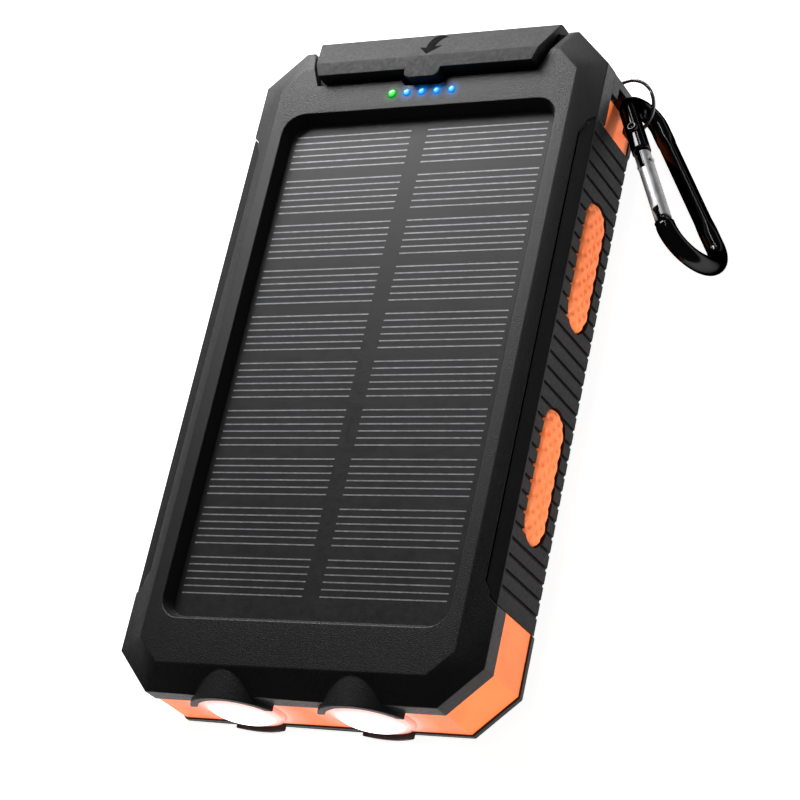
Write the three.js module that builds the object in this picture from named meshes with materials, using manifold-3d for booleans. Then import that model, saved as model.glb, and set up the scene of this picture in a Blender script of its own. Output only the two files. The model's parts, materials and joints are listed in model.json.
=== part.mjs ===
// Rugged solar phone charger with an end flap over its sockets, two end lamps and a carabiner.
// Millimetres. The charger lies on its back: +Z comes out of the solar panel, +Y points to
// the socket end, and the origin is the centre of the rear face.
import * as THREE from 'three';
import { mergeVertices } from 'three/addons/utils/BufferGeometryUtils.js';
import Module from 'manifold-3d';

const wasm = await Module();
wasm.setup();

// ---- Driving dimensions ---------------------------------------------------------------
const BODY = { halfX: 39.4, halfY: 71, corner: 7.9 };            // widest outline
const FACE = { halfX: 34.0, halfY: 65.7, corner: 4.8 };          // flat front face
const REAR = { halfX: 36.6, halfY: 68.2, corner: 6.3 };          // flat rear face
const CAVITY = { halfX: 35, halfY: 67.5, corner: 6.4 };          // inside of the shells
const BAND = { halfX: 39.1, halfY: 70.7, corner: 7.8 };          // the middle frame's outline
const Z = { rearEdge: 2.6, rearSplit: 3.9, frontSplit: 15.2, ceiling: 17.2, frontEdge: 19.2, face: 21.6 };
const REAR_FLOOR = 1.8;
const GAP = 0.1;                       // moulded clearance between fixed neighbours

const WINDOW = { halfX: 31.3, y0: -56.7, y1: 54.6, corner: 4.4, inset: 1.4 };
const PANEL = { halfX: 31.0, y0: -55.9, y1: 54.1, top: 19.0, laminate: 0.8 };

const GRIP = { halfLength: 51.1, grooves: 31, first: 47.7, pitch: 3.157, groove: 0.7, depth: 0.55 };
const PAD = { y: 22.1, z: 10.6, length: 27.5, height: 9.1, back: 38.3, front: 39.55 };

const LAMP = { x: 14, z: 11.3, hole: 8.5, lens: 8.2, frontCollar: 10, rearCollar: 9.3, collarY: -72.2 };
const LAMP_SEAT = -70.35;              // back of each lamp lens
const BULKHEAD = { y0: -60.5, y1: -58.9, top: 13.6 };

const NOTCH = { halfX: 25.3, y: 61.2, slope: 0.42, floor: 19.3, wall: 70.3, bottom: 2.4 };
const TAB = { halfX: 4.15, y: 60.4, radius: 1.5, gap: 1.05 };
const FLAP = { top: 23.5, bottom: 5.0, under: 19.6, inner: 70.6, outer: 72.6 };

const BOARD = { x0: -33, x1: 29.5, y0: 43, y1: 67.3, z0: 5.4, z1: 7.0 };
const USB = { xs: [-16, 0], halfX: 6.6, height: 6, wall: 0.4, back: 56.2, mouth: 70 };
const INPUT = { x: 15.5, halfX: 4, height: 3.3, back: 63.5 };
const INDICATORS = { pitch: 3.425, y: 58, bottom: 14.15, radii: [0.95, 0.8, 0.8, 0.8, 0.8] };
const SCREWS = [[-31.3, 49.5], [31.3, 49.5], [-31.3, -54.5], [31.3, -54.5]];
const BUTTON = { y: 55, z: 10.6, halfY: 2.6, halfZ: 3.6, proud: 39.9 };

const POST = [[39.3, 61.3], [39.3, 63.06], [37.6, 64.76], [36.6, 63.3], [37.6, 61.3]];
const POCKET = { x: 38.6, y: 61.2, radius: 7.0, top: 9.0, slotTop: 12.3, slotY: 58.1, wall: 8.6,
  cornerY: 57.4, frameTop: 7.2 };
const RING = { centre: [39.15, 60.35, 6.5], normal: [-0.12, -0.29, 0.95], radius: 5.7, wire: 0.45 };
const CARABINER = { apex: [41.7, 59.85, 7.1], azimuth: -60.7, climb: 5.2, roll: 22.5,
  narrow: 4.3, wide: 6.9, reach: 32.5, bar: 1.9 };
const GATE = { from: 12.6, to: 31.3, pivot: 15.2, radius: 1.65, barEnd: 11.8, nose: 31.8,
  tab: 1.2, slot: 1.6, rivet: 0.6 };

// ---- Materials ------------------------------------------------------------------------
const paint = (color, roughness, metalness = 0) => (
  new THREE.MeshStandardMaterial({ color, roughness, metalness }));
const BLACK = paint(0x1b1c1e, 0.62);
const RUBBER = paint(0x222326, 0.8);
const ORANGE = paint(0xf0622a, 0.55);
const FLAP_GREY = paint(0x2c2d30, 0.72);
const CELL = paint(0x14161b, 0.3);
const LENS = paint(0xf6f4ef, 0.2);
const MIRROR = paint(0xd9dadd, 0.15, 0.9);
const STEEL = paint(0xb9bbbf, 0.35, 1);
const GLOSS_BLACK = paint(0x08080a, 0.15, 0.5);
const BOARD_GREEN = paint(0x1e5b3a, 0.5);
const CHIP = paint(0x17181a, 0.5);
const FOIL = paint(0xc4c8cf, 0.4, 0.6);
const FOAM = paint(0x2a2a2c, 0.95);
const GREEN_GLOW = paint(0x2fe07a, 0.25);
const BLUE_GLOW = paint(0x3f9bff, 0.25);
const WHITE = paint(0xefece4, 0.5);
const RED_WIRE = paint(0xb3201c, 0.5);
const BLACK_WIRE = paint(0x151515, 0.5);

// ---- Solids ---------------------------------------------------------------------------
// A closed geometry as a solid that can be joined and cut.
function solid(geometry) {
  const bare = geometry.clone();
  bare.deleteAttribute('normal');
  bare.deleteAttribute('uv');
  const merged = mergeVertices(bare, 1e-5);
  return new wasm.Manifold(new wasm.Mesh({
    numProp: 3,
    vertProperties: Float32Array.from(merged.attributes.position.array),
    triVerts: Uint32Array.from(merged.index.array),
  }));
}

// A solid back as a geometry.
function geometryOf(body) {
  const mesh = body.getMesh();
  const geometry = new THREE.BufferGeometry();
  geometry.setAttribute('position', new THREE.BufferAttribute(Float32Array.from(mesh.vertProperties), 3));
  geometry.setIndex(new THREE.BufferAttribute(Uint32Array.from(mesh.triVerts), 1));
  geometry.computeVertexNormals();
  return geometry;
}

const join = (first, ...others) => others.reduce((sum, other) => sum.add(other), first);
const cut = (first, ...others) => others.reduce((rest, other) => rest.subtract(other), first);

function box(x0, x1, y0, y1, z0, z1) {
  const geometry = new THREE.BoxGeometry(x1 - x0, y1 - y0, z1 - z0);
  return solid(geometry.translate((x0 + x1) / 2, (y0 + y1) / 2, (z0 + z1) / 2));
}

const shapeOf = (points) => new THREE.Shape(points.map(([x, y]) => new THREE.Vector2(x, y)));

function extrude(shape, depth, curveSegments = 8) {
  return new THREE.ExtrudeGeometry(shape, { depth, bevelEnabled: false, curveSegments });
}

// A plan outline (x, y) raised from z0 to z1.
const prism = (points, z0, z1) => solid(extrude(shapeOf(points), z1 - z0).translate(0, 0, z0));

// A side outline (y, z) drawn out from x0 to x1.
function alongX(shape, x0, x1, segments = 8) {
  const turn = new THREE.Matrix4().makeBasis(
    new THREE.Vector3(0, 1, 0), new THREE.Vector3(0, 0, 1), new THREE.Vector3(1, 0, 0));
  return solid(extrude(shape, x1 - x0, segments).applyMatrix4(turn).translate(x0, 0, 0));
}

// An end outline (x, z) drawn out from y0 to y1.
const alongY = (points, y0, y1) => solid(
  extrude(shapeOf(points), y1 - y0).rotateX(Math.PI / 2).translate(0, y1, 0));

const upright = (x, y, r, z0, z1, sides = 24) => solid(
  new THREE.CylinderGeometry(r, r, z1 - z0, sides).rotateX(Math.PI / 2).translate(x, y, (z0 + z1) / 2));

const barrel = (x, z, r, y0, y1, sides = 32) => solid(
  new THREE.CylinderGeometry(r, r, y1 - y0, sides).translate(x, (y0 + y1) / 2, z));

const pin = (y, z, r, x0, x1, sides = 16) => solid(
  new THREE.CylinderGeometry(r, r, x1 - x0, sides).rotateZ(Math.PI / 2).translate((x0 + x1) / 2, y, z));

// A rectangle with cut corners.
function octagon({ halfX, halfY, corner }) {
  const [x, y, c] = [halfX, halfY, corner];
  return [[x, c - y], [x, y - c], [x - c, y], [c - x, y], [-x, y - c], [-x, c - y], [c - x, -y], [x - c, -y]];
}

// Outlines of equal length stacked at rising heights, as one closed solid.
function stack(levels) {
  const n = levels[0].outline.length;
  const positions = levels.flatMap(({ z, outline }) => outline.flatMap(([x, y]) => [x, y, z]));
  const index = [];
  for (let level = 0; level + 1 < levels.length; level += 1) {
    for (let i = 0; i < n; i += 1) {
      const [a, b] = [level * n + i, level * n + ((i + 1) % n)];
      index.push(a, b, b + n, a, b + n, a + n);
    }
  }
  const top = (levels.length - 1) * n;
  for (let i = 1; i + 1 < n; i += 1) index.push(0, i + 1, i, top, top + i, top + i + 1);
  const geometry = new THREE.BufferGeometry();
  geometry.setAttribute('position', new THREE.Float32BufferAttribute(positions, 3));
  geometry.setIndex(index);
  return solid(geometry);
}

// A rectangle with round corners, counter-clockwise.
function roundRect(x0, x1, y0, y1, r, steps = 5) {
  const corners = [[x1 - r, y0 + r, -90], [x1 - r, y1 - r, 0], [x0 + r, y1 - r, 90], [x0 + r, y0 + r, 180]];
  return corners.flatMap(([x, y, from]) => Array.from({ length: steps + 1 }, (_, i) => {
    const angle = THREE.MathUtils.degToRad(from + (90 * i) / steps);
    return [x + r * Math.cos(angle), y + r * Math.sin(angle)];
  }));
}

// A slot with round ends, long in y, as a side outline (y, z).
function stadium(y, z, length, height) {
  const shape = new THREE.Shape();
  const [r, run] = [height / 2, (length - height) / 2];
  shape.absarc(y + run, z, r, -Math.PI / 2, Math.PI / 2);
  shape.absarc(y - run, z, r, Math.PI / 2, (3 * Math.PI) / 2);
  return shape;
}

// A round section swept along a curve.
function tube(curve, r, steps, sides) {
  const circle = Array.from({ length: sides }, (_, i) => {
    const angle = (2 * Math.PI * i) / sides;
    return new THREE.Vector2(r * Math.cos(angle), r * Math.sin(angle));
  });
  const section = new THREE.Shape(circle);
  return new THREE.ExtrudeGeometry(section, { steps, extrudePath: curve, bevelEnabled: false });
}

const mirrorX = (points) => points.map(([x, y]) => [-x, y]).reverse();
const lampXs = [-LAMP.x, LAMP.x];

const charger = new THREE.Group();
function place(name, body, material) {
  const geometry = body.isBufferGeometry ? body : geometryOf(body);
  const mesh = new THREE.Mesh(geometry, material);
  mesh.name = name;
  charger.add(mesh);
  return mesh;
}

// ---- Shared cutters -------------------------------------------------------------------
const notchAt = (y) => NOTCH.halfX + (y - NOTCH.y) * NOTCH.slope;
const notchPlan = [[-NOTCH.halfX, NOTCH.y], [NOTCH.halfX, NOTCH.y], [notchAt(73), 73], [-notchAt(73), 73]];

// Everything that makes room for the flap: a shelf, the tab's bay and the end recess.
function flapRoom() {
  const bay = roundRect(-TAB.halfX - TAB.gap, TAB.halfX + TAB.gap, TAB.y - TAB.gap * 0.7, 64, TAB.radius);
  const end = box(-notchAt(71), notchAt(71), NOTCH.wall, 74, NOTCH.bottom, 25);
  return join(prism(notchPlan, NOTCH.floor, 25), prism(bay, NOTCH.floor, 25), end);
}

// A side grip's seat and the grip itself, as end outlines (x, z) from the front ridge down.
const SEAT_SECTION = [
  [36.77, 20.9], [40.2, 19.4], [40.2, 2.7], [38.0, 1.1], [37.2, 2.1], [37.2, 18.0], [35.9, 18.6]];
const GRIP_SECTION = [
  [36.75, 20.2], [39.2, 19.1], [39.2, 2.75], [38.1, 1.65], [37.4, 2.2], [37.4, 18.1], [36.15, 18.65]];

// The seat of a side grip, or with an inset, the grip's own block.
function gripBlock(side, inset) {
  const reach = GRIP.halfLength - inset;
  const half = [[36.6, reach - 4.3], [37.6, reach - 2.5], [37.7, reach - 1.5], [39.4, reach], [41, reach]];
  const plan = [...half.map(([x, y]) => [x, -y]), ...half.reverse(), [34, reach - 4.3], [34, 4.3 - reach]];
  const points = inset > 0 ? GRIP_SECTION : SEAT_SECTION;
  const outline = side > 0 ? points : mirrorX(points);
  const shadow = side > 0 ? plan : mirrorX(plan);
  return alongY(outline.slice().reverse(), -52, 52).intersect(prism(shadow, -1, 23));
}

const lampHoles = (y1) => join(...lampXs.map((x) => barrel(x, LAMP.z, LAMP.hole, -74, y1)));

// ---- Shells ---------------------------------------------------------------------------
function frontCover() {
  let cover = stack([
    { z: Z.frontSplit, outline: octagon(BODY) },
    { z: Z.frontEdge, outline: octagon(BODY) },
    { z: Z.face, outline: octagon(FACE) },
  ]);
  const above = box(-60, 60, -90, 90, Z.frontSplit, 40);
  for (const x of lampXs) {
    cover = cover.add(barrel(x, LAMP.z, LAMP.frontCollar, LAMP.collarY, -60, 48).intersect(above));
  }
  const { halfX, y0, y1, corner, inset } = WINDOW;
  const sill = roundRect(inset - halfX, halfX - inset, y0 + inset, y1 - inset, corner - inset);
  const window = stack([
    { z: PANEL.top - 0.1, outline: sill },
    { z: Z.face + 0.1, outline: roundRect(-halfX, halfX, y0, y1, corner) },
  ]);
  const panelSeat = box(-PANEL.halfX, PANEL.halfX, PANEL.y0, PANEL.y1, Z.ceiling - 0.1, PANEL.top);
  const bosses = SCREWS.map(([x, y]) => upright(x, y, 2.6, REAR_FLOOR + GAP, Z.ceiling + 0.2, 16));
  cover = cut(cover,
    prism(octagon(CAVITY), Z.frontSplit - 1, Z.ceiling), window, panelSeat, lampHoles(-60.2), flapRoom(),
    gripBlock(1, 0), gripBlock(-1, 0));
  cover = join(cover, ...bosses);
  const panelUnderside = box(-PANEL.halfX, PANEL.halfX, PANEL.y0, PANEL.y1, Z.ceiling, PANEL.top);
  cover = cut(cover, panelUnderside, ...SCREWS.map(([x, y]) => upright(x, y, 1.2, 0, 12, 12)));
  return cut(cover, ...INDICATORS.radii.map((r, i) => (
    upright((i - 2) * INDICATORS.pitch, INDICATORS.y, r + GAP, 14, 23, 16))));
}

// The corner that carries the lanyard post, in plan.
const cornerPlan = (grow) => [
  [41, POCKET.cornerY - grow], [41, 61.46 + grow], [35.7, 66.66 + grow], [34.5 - grow, 65.4 + grow],
  [34.5 - grow, POCKET.cornerY - grow]];

const ringPocket = (z0, z1) => upright(POCKET.x, POCKET.y, POCKET.radius, z0, z1, 36);

function middleFrame() {
  const [z0, z1] = [Z.rearSplit, Z.frontSplit];
  const outside = prism(octagon(BAND), z0, z1);
  const pocketWall = upright(POCKET.x, POCKET.y, POCKET.wall, z0, z1, 36).intersect(outside);
  let frame = cut(outside, prism(octagon(CAVITY), z0 - 1, z1 + 1));
  const bulkhead = box(-CAVITY.halfX, CAVITY.halfX, BULKHEAD.y0, BULKHEAD.y1, z0, BULKHEAD.top);
  const rib = box(-1.2, 1.2, -CAVITY.halfY - 0.5, BULKHEAD.y0 + 0.5, z0, BULKHEAD.top);
  frame = join(frame, pocketWall, bulkhead, rib);
  const socketHole = (x, halfX, height) => box(
    x - halfX - 0.3, x + halfX + 0.3, 60, 74, BOARD.z1 - 0.3, BOARD.z1 + height + 0.3);
  const sockets = USB.xs.map((x) => socketHole(x, USB.halfX, USB.height));
  const input = socketHole(INPUT.x, INPUT.halfX, INPUT.height);
  const besideCorner = box(20, 60, POCKET.cornerY - GAP, 90, 0, 30);
  const pocket = ringPocket(z0 - 1, POCKET.top).intersect(besideCorner);
  const slot = ringPocket(POCKET.top - 1, POCKET.slotTop).intersect(box(20, 60, POCKET.slotY, 90, 0, 30));
  frame = cut(frame, lampHoles(BULKHEAD.y0), flapRoom(), gripBlock(1, 0), gripBlock(-1, 0), ...sockets, input,
    prism(cornerPlan(GAP), z0 - 1, z1 + 1), pocket, ringPocket(z0 - 1, POCKET.frameTop), slot);
  const keyhole = box(-41, -34, BUTTON.y - BUTTON.halfY - 0.2, BUTTON.y + BUTTON.halfY + 0.2,
    BUTTON.z - BUTTON.halfZ - 0.2, BUTTON.z + BUTTON.halfZ + 0.2);
  return cut(frame, keyhole, ...SCREWS.map(([x, y]) => upright(x, y, 2.8, 0, 20, 16)));
}

function lanyardCorner() {
  const plan = octagon({ halfX: 39.3, halfY: 70.9, corner: 7.84 });
  const inside = prism(plan, Z.rearSplit + GAP / 2, Z.frontSplit - GAP / 2);
  const block = prism(cornerPlan(0), 0, 20).intersect(inside);
  const slot = ringPocket(0, POCKET.slotTop).intersect(box(20, 60, POCKET.slotY, 90, -1, 30));
  const post = prism(POST, Z.rearSplit + GAP / 2, Z.frontSplit - 1);
  const clipRoom = box(38.5, 42, 50, POCKET.slotY + 0.5, 0, 20);
  return join(cut(block, slot, ringPocket(0, POCKET.top), clipRoom), post);
}

function rearCover() {
  let cover = stack([
    { z: 0, outline: octagon(REAR) },
    { z: Z.rearEdge, outline: octagon(BODY) },
    { z: Z.rearSplit, outline: octagon(BODY) },
  ]);
  const below = box(-60, 60, -90, 90, 0, Z.rearSplit);
  for (const x of lampXs) {
    cover = cover.add(barrel(x, LAMP.z, LAMP.rearCollar, LAMP.collarY, -60, 48).intersect(below));
  }
  const screwHoles = SCREWS.flatMap(([x, y]) => [
    upright(x, y, 1.3, -1, 3, 12), upright(x, y, 2.3, -1, 1.25, 16)]);
  const ringRoom = upright(POCKET.x, POCKET.y, POCKET.radius, Z.rearSplit - 0.4, 20, 36).subtract(
    prism([[38.9, 60.6], [41, 61], [41, 64], [37.5, 66.5], [35.8, 63.3], [36.8, 60.9]], 0, 20));
  return cut(cover, prism(octagon(CAVITY), REAR_FLOOR, 5), lampHoles(-60.2), flapRoom(),
    gripBlock(1, 0), gripBlock(-1, 0), ringRoom, ...screwHoles);
}

place('front_cover', frontCover(), BLACK);
place('middle_frame', middleFrame(), ORANGE);
place('rear_cover', rearCover(), BLACK);
place('lanyard_corner', lanyardCorner(), BLACK);

// ---- Side grips and their inserts -----------------------------------------------------
function sideGrip(side) {
  const [near, far] = side > 0 ? [39.2 - GRIP.depth, 41] : [-41, GRIP.depth - 39.2];
  const grooves = Array.from({ length: GRIP.grooves }, (_, i) => {
    const y = GRIP.first - i * GRIP.pitch;
    return box(near, far, y - GRIP.groove / 2, y + GRIP.groove / 2, 0, 18.5);
  });
  const [back, front] = side > 0 ? [PAD.back - 0.15, 41] : [-41, 0.15 - PAD.back];
  const [length, height] = [PAD.length + 0.3, PAD.height + 0.3];
  const seats = [PAD.y, -PAD.y].map((y) => alongX(stadium(y, PAD.z, length, height), back, front));
  return cut(gripBlock(side, 0.15), ...grooves, ...seats);
}

for (const [side, name] of [[-1, 'left'], [1, 'right']]) {
  place(`side_grip_${name}`, sideGrip(side), RUBBER);
  for (const [y, end] of [[PAD.y, 'upper'], [-PAD.y, 'lower']]) {
    const [x0, x1] = side > 0 ? [PAD.back, PAD.front] : [-PAD.front, -PAD.back];
    place(`grip_pad_${name}_${end}`, alongX(stadium(y, PAD.z, PAD.length, PAD.height), x0, x1), ORANGE);
  }
}

// ---- Flap over the sockets ------------------------------------------------------------
function portCover() {
  const side = shapeOf([
    [62.4, FLAP.under], [FLAP.inner, FLAP.under], [FLAP.inner, FLAP.bottom], [72.0, FLAP.bottom],
    [FLAP.outer, 5.6], [FLAP.outer, 19.4], [72.4, 20.2], [65.5, FLAP.top], [62.4, FLAP.top]]);
  const plan = [
    [-24.65, 62.4], [24.65, 62.4], [25.7, 65.5], [27.9, 72.4], [27.9, 74],
    [-27.9, 74], [-27.9, 72.4], [-25.7, 65.5]];
  const plate = alongX(side, -30, 30).intersect(prism(plan, 0, 30));
  const tab = prism(roundRect(-TAB.halfX, TAB.halfX, TAB.y, 64, TAB.radius), FLAP.under, FLAP.top);
  const root = FLAP.inner + 0.2;
  const plugs = USB.xs.map((x) => box(x - 5.6, x + 5.6, 69.1, root, BOARD.z1 + 1.1, BOARD.z1 + 4.9));
  const small = box(INPUT.x - 3.0, INPUT.x + 3.0, 69.3, root, BOARD.z1 + 1.1, BOARD.z1 + 2.1);
  return join(plate, tab, ...plugs, small);
}

place('port_cover', portCover(), FLAP_GREY);
place('port_cover_strap', box(-18, 18, 70.45, 71.7, NOTCH.bottom + GAP, 3.7), FLAP_GREY);

// ---- Solar panel ----------------------------------------------------------------------
const panelSheet = (z0, z1) => box(
  GAP - PANEL.halfX, PANEL.halfX - GAP, PANEL.y0 + GAP, PANEL.y1 - GAP, z0, z1);
place('solar_panel', panelSheet(PANEL.top - PANEL.laminate, PANEL.top), CELL);
place('panel_substrate', panelSheet(Z.ceiling, PANEL.top - PANEL.laminate), BOARD_GREEN);

// ---- Lamps ----------------------------------------------------------------------------
// Turned pieces are drawn as (radius, distance out of the end face) from the lens seat.
function turned(profile, x, sides = 24) {
  const points = profile.map(([r, out]) => new THREE.Vector2(r, out));
  return solid(new THREE.LatheGeometry(points, sides).rotateX(Math.PI).translate(x, LAMP_SEAT, LAMP.z));
}

const lensProfile = [
  [0, 0], [LAMP.lens, 0], [LAMP.lens, 0.9], [7.6, 1.35], [5.6, 2.0], [2.9, 2.45], [0, 2.6]];
const cupProfile = [
  [8.2, -0.05], [7.5, -0.05], [1.9, -7.9], [1.9, -8.4], [3.6, -8.4], [8.2, -0.9], [8.2, -0.05]];

lampXs.forEach((x, i) => {
  const name = ['left', 'right'][i];
  place(`lamp_lens_${name}`, turned(lensProfile, x), LENS);
  place(`lamp_reflector_${name}`, turned(cupProfile, x), MIRROR);
  place(`lamp_led_${name}`, barrel(x, LAMP.z, 1.7, -63.2, -61.9, 16), WHITE);
});
const ribRoom = box(-1.4, 1.4, -63, -60, 4, BULKHEAD.top + GAP);
place('lamp_board', cut(box(-24, 24, -61.9, -60.7, 5, 15), ribRoom), BOARD_GREEN);

// ---- Electronics ----------------------------------------------------------------------
const boardPlan = [[BOARD.x0, BOARD.y0], [BOARD.x1, BOARD.y0], [BOARD.x1, 60], [27.5, BOARD.y1],
  [BOARD.x0 + 4.4, BOARD.y1], [BOARD.x0, BOARD.y1 - 4.6]];
place('main_board', cut(prism(boardPlan, BOARD.z0, BOARD.z1),
  ...SCREWS.slice(0, 2).map(([x, y]) => upright(x, y, 2.75, 0, 12, 16))), BOARD_GREEN);

USB.xs.forEach((x, i) => {
  const { halfX, height, wall, back, mouth } = USB;
  const [z0, z1] = [BOARD.z1, BOARD.z1 + height];
  const shell = cut(box(x - halfX, x + halfX, back, mouth, z0, z1),
    box(x - halfX + wall, x + halfX - wall, back + wall, mouth + 1, z0 + wall, z1 - wall));
  place(`usb_socket_${i + 1}`, shell, STEEL);
  place(`usb_tongue_${i + 1}`, box(x - 5.4, x + 5.4, back + wall, mouth - 1.1, z0 + 3.2, z0 + 5), WHITE);
});
const inputTop = BOARD.z1 + INPUT.height;
const inputShell = box(
  INPUT.x - INPUT.halfX, INPUT.x + INPUT.halfX, INPUT.back, USB.mouth, BOARD.z1, inputTop);
const inputRoom = box(
  INPUT.x - 3.6, INPUT.x + 3.6, INPUT.back + USB.wall, 72, BOARD.z1 + USB.wall, inputTop - USB.wall);
place('input_socket', cut(inputShell, inputRoom), STEEL);

place('inductor', prism(roundRect(11, 18, 49, 56, 1.5, 3), BOARD.z1, BOARD.z1 + 4), CHIP);
place('charge_chip', box(-4.5, 0.5, 48, 53, BOARD.z1, BOARD.z1 + 1), CHIP);
place('boost_chip', box(-16, -11, 48, 53, BOARD.z1, BOARD.z1 + 1), CHIP);
place('indicator_board', box(-9, 9, 56, 60, 13.2, 14.1), BOARD_GREEN);
INDICATORS.radii.forEach((r, i) => {
  const light = upright((i - 2) * INDICATORS.pitch, INDICATORS.y, r, INDICATORS.bottom, Z.face + 0.05, 16);
  place(`indicator_light_${i + 1}`, light, i === 0 ? GREEN_GLOW : BLUE_GLOW);
});

// ---- Power button on the left side and its switch --------------------------------------
const { y: by, z: bz, halfY: bw, halfZ: bh } = BUTTON;
place('power_button', join(box(-BUTTON.proud, -34.8, by - bw, by + bw, bz - bh, bz + bh),
  box(-34.85, -34.1, by - bw - 0.7, by + bw + 0.7, bz - bh, bz + bh + 0.7)), ORANGE);
place('switch_body', cut(box(-32.9, -29.9, by - 2.6, by + 2.6, BOARD.z1, bz + 3),
  pin(by, bz, 1.4, -34, -31.4, 12)), CHIP);
place('switch_plunger', pin(by, bz, 1.2, -34.05, -32.4, 12), WHITE);

// ---- Battery --------------------------------------------------------------------------
place('battery_cell_lower', box(-28, 28, -54, 36, REAR_FLOOR + 0.1, 7.0), FOIL);
place('battery_cell_upper', box(-28, 28, -54, 36, 7.15, 12.25), FOIL);
place('battery_foam', box(-22, 22, -46, 35, 12.35, 16.9), FOAM);
place('protection_board', box(-22, 22, 36.4, 40.4, 7.4, 8.4), BOARD_GREEN);

// ---- Leads inside the case --------------------------------------------------------------
const lead = (points, steps) => tube(
  new THREE.CatmullRomCurve3(points.map(([x, y, z]) => new THREE.Vector3(x, y, z))), 0.6, steps, 8);
const leads = [['red', 0, RED_WIRE], ['black', 1.6, BLACK_WIRE]];
for (const [color, offset, material] of leads) {
  const battery = [[offset, 38.4, 9.1], [offset, 40.6, 9.6], [offset, 43.6, 9.0], [offset, 45.6, 7.7]];
  place(`battery_lead_${color}`, lead(battery, 10), material);
  const panel = [
    [20 + offset, 40, 16.4], [20 + offset, 41.5, 15.4], [20 + offset, 43.5, 11.5], [20 + offset, 45.6, 7.7]];
  place(`panel_lead_${color}`, lead(panel, 12), material);
  const lamp = [
    [-4 + offset, -61.3, 15.7], [-8 + offset * 0.4, -57.4 + offset, 15.8], [-22, -55.5 + offset, 15.2],
    [-31.4 + offset, -44, 14.6], [-31.4 + offset, 0, 14.6], [-31.4 + offset, 38, 14.4],
    [-27.5 + offset, 44, 10.5], [-26 + offset, 46.5, 7.7]];
  place(`lamp_lead_${color}`, lead(lamp, 40), material);
}

// ---- Fasteners --------------------------------------------------------------------------
const driveStar = [
  [0.9, 0], [0.3, 0.3], [0, 0.9], [-0.3, 0.3], [-0.9, 0], [-0.3, -0.3], [0, -0.9], [0.3, -0.3]];
SCREWS.forEach(([x, y], i) => {
  const drive = prism(driveStar.map(([dx, dy]) => [x + dx, y + dy]), 0, 0.85);
  const head = upright(x, y, 2.15, 0.2, 1.2, 16);
  place(`rear_screw_${i + 1}`, cut(join(head, upright(x, y, 1.1, 1.0, 11, 12)), drive), STEEL);
});

// ---- Key ring ---------------------------------------------------------------------------
const ring = place('key_ring', new THREE.TorusGeometry(RING.radius, RING.wire, 8, 40), STEEL);
ring.quaternion.setFromUnitVectors(new THREE.Vector3(0, 0, 1), new THREE.Vector3(...RING.normal).normalize());
ring.position.set(...RING.centre);

// ---- Carabiner --------------------------------------------------------------------------
// Drawn flat in its own plane: x runs from the narrow end to the wide end, y towards the
// spine, and the group turns it into place.
const { narrow, wide, reach } = CARABINER;
const taper = (wide - narrow) / reach;
const lean = Math.asin(taper);
const narrowCentre = new THREE.Vector2(narrow, 0);
const wideCentre = new THREE.Vector2(narrow + reach, 0);
const gateNormal = new THREE.Vector2(-taper, -Math.cos(lean));
const gateStart = narrowCentre.clone().addScaledVector(gateNormal, narrow);
const gateAlong = new THREE.Vector2(Math.cos(lean), -taper);
const onGate = (s) => gateStart.clone().addScaledVector(gateAlong, s);

function arc(centre, r, from, to, steps) {
  return Array.from({ length: steps + 1 }, (_, i) => {
    const angle = from + ((to - from) * i) / steps;
    return new THREE.Vector3(centre.x + r * Math.cos(angle), centre.y + r * Math.sin(angle), 0);
  });
}

// The bent bar, from the hinge end round the narrow arc, the spine and the wide arc.
class BarPath extends THREE.Curve {
  constructor(points) {
    super();
    this.points = points;
  }

  getPoint(t, target = new THREE.Vector3()) {
    const at = t * (this.points.length - 1);
    const i = Math.min(Math.floor(at), this.points.length - 2);
    return target.lerpVectors(this.points[i], this.points[i + 1], at - i);
  }
}

function barPoints() {
  const end = onGate(GATE.barEnd);
  const start = onGate(5);
  const right = Math.PI / 2 + lean;
  const points = [new THREE.Vector3(end.x, end.y, 0), new THREE.Vector3(start.x, start.y, 0)];
  points.push(...arc(narrowCentre, narrow, -right, -2 * Math.PI + right, 20));
  points.push(...arc(wideCentre, wide, right, -right + 0.02, 24));
  return points;
}

// Blocks along the gate's line: s runs from the hinge end, w across the plane, n through it.
function gateBlock(s0, s1, w, n) {
  const geometry = new THREE.BoxGeometry(s1 - s0, 2 * w, 2 * n);
  const middle = onGate((s0 + s1) / 2);
  return solid(geometry.rotateZ(-lean).translate(middle.x, middle.y, 0));
}

function rivetAt(r, half) {
  const at = onGate(GATE.pivot);
  return solid(new THREE.CylinderGeometry(r, r, 2 * half, 16).rotateX(Math.PI / 2).translate(at.x, at.y, 0));
}

function carabinerBody() {
  const path = new BarPath(barPoints());
  const bar = solid(tube(path, CARABINER.bar, 64, 12));
  const eye = rivetAt(0.75, 3);
  const hingeTab = gateBlock(GATE.barEnd - 0.5, GATE.pivot + 1.1, 1.2, GATE.tab / 2).subtract(eye);
  const nose = gateBlock(GATE.nose - 2.8, GATE.nose + 0.6, 1.1, GATE.tab / 2);
  const noseHead = gateBlock(GATE.nose - 0.2, GATE.nose + 0.7, 1.5, 1.5);
  return join(bar, hingeTab, nose, noseHead);
}

function carabinerGate() {
  const start = onGate(GATE.from);
  const end = onGate(GATE.to);
  const middle = start.clone().add(end).multiplyScalar(0.5);
  const rod = solid(new THREE.CylinderGeometry(GATE.radius, GATE.radius, GATE.to - GATE.from, 20)
    .rotateZ(Math.PI / 2 - lean).translate(middle.x, middle.y, 0));
  return cut(rod, gateBlock(GATE.from - 1, GATE.pivot + 2, 3, GATE.slot / 2),
    gateBlock(GATE.nose - 3.3, GATE.to + 1, 3, GATE.slot / 2), rivetAt(GATE.rivet + 0.05, 3));
}

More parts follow.
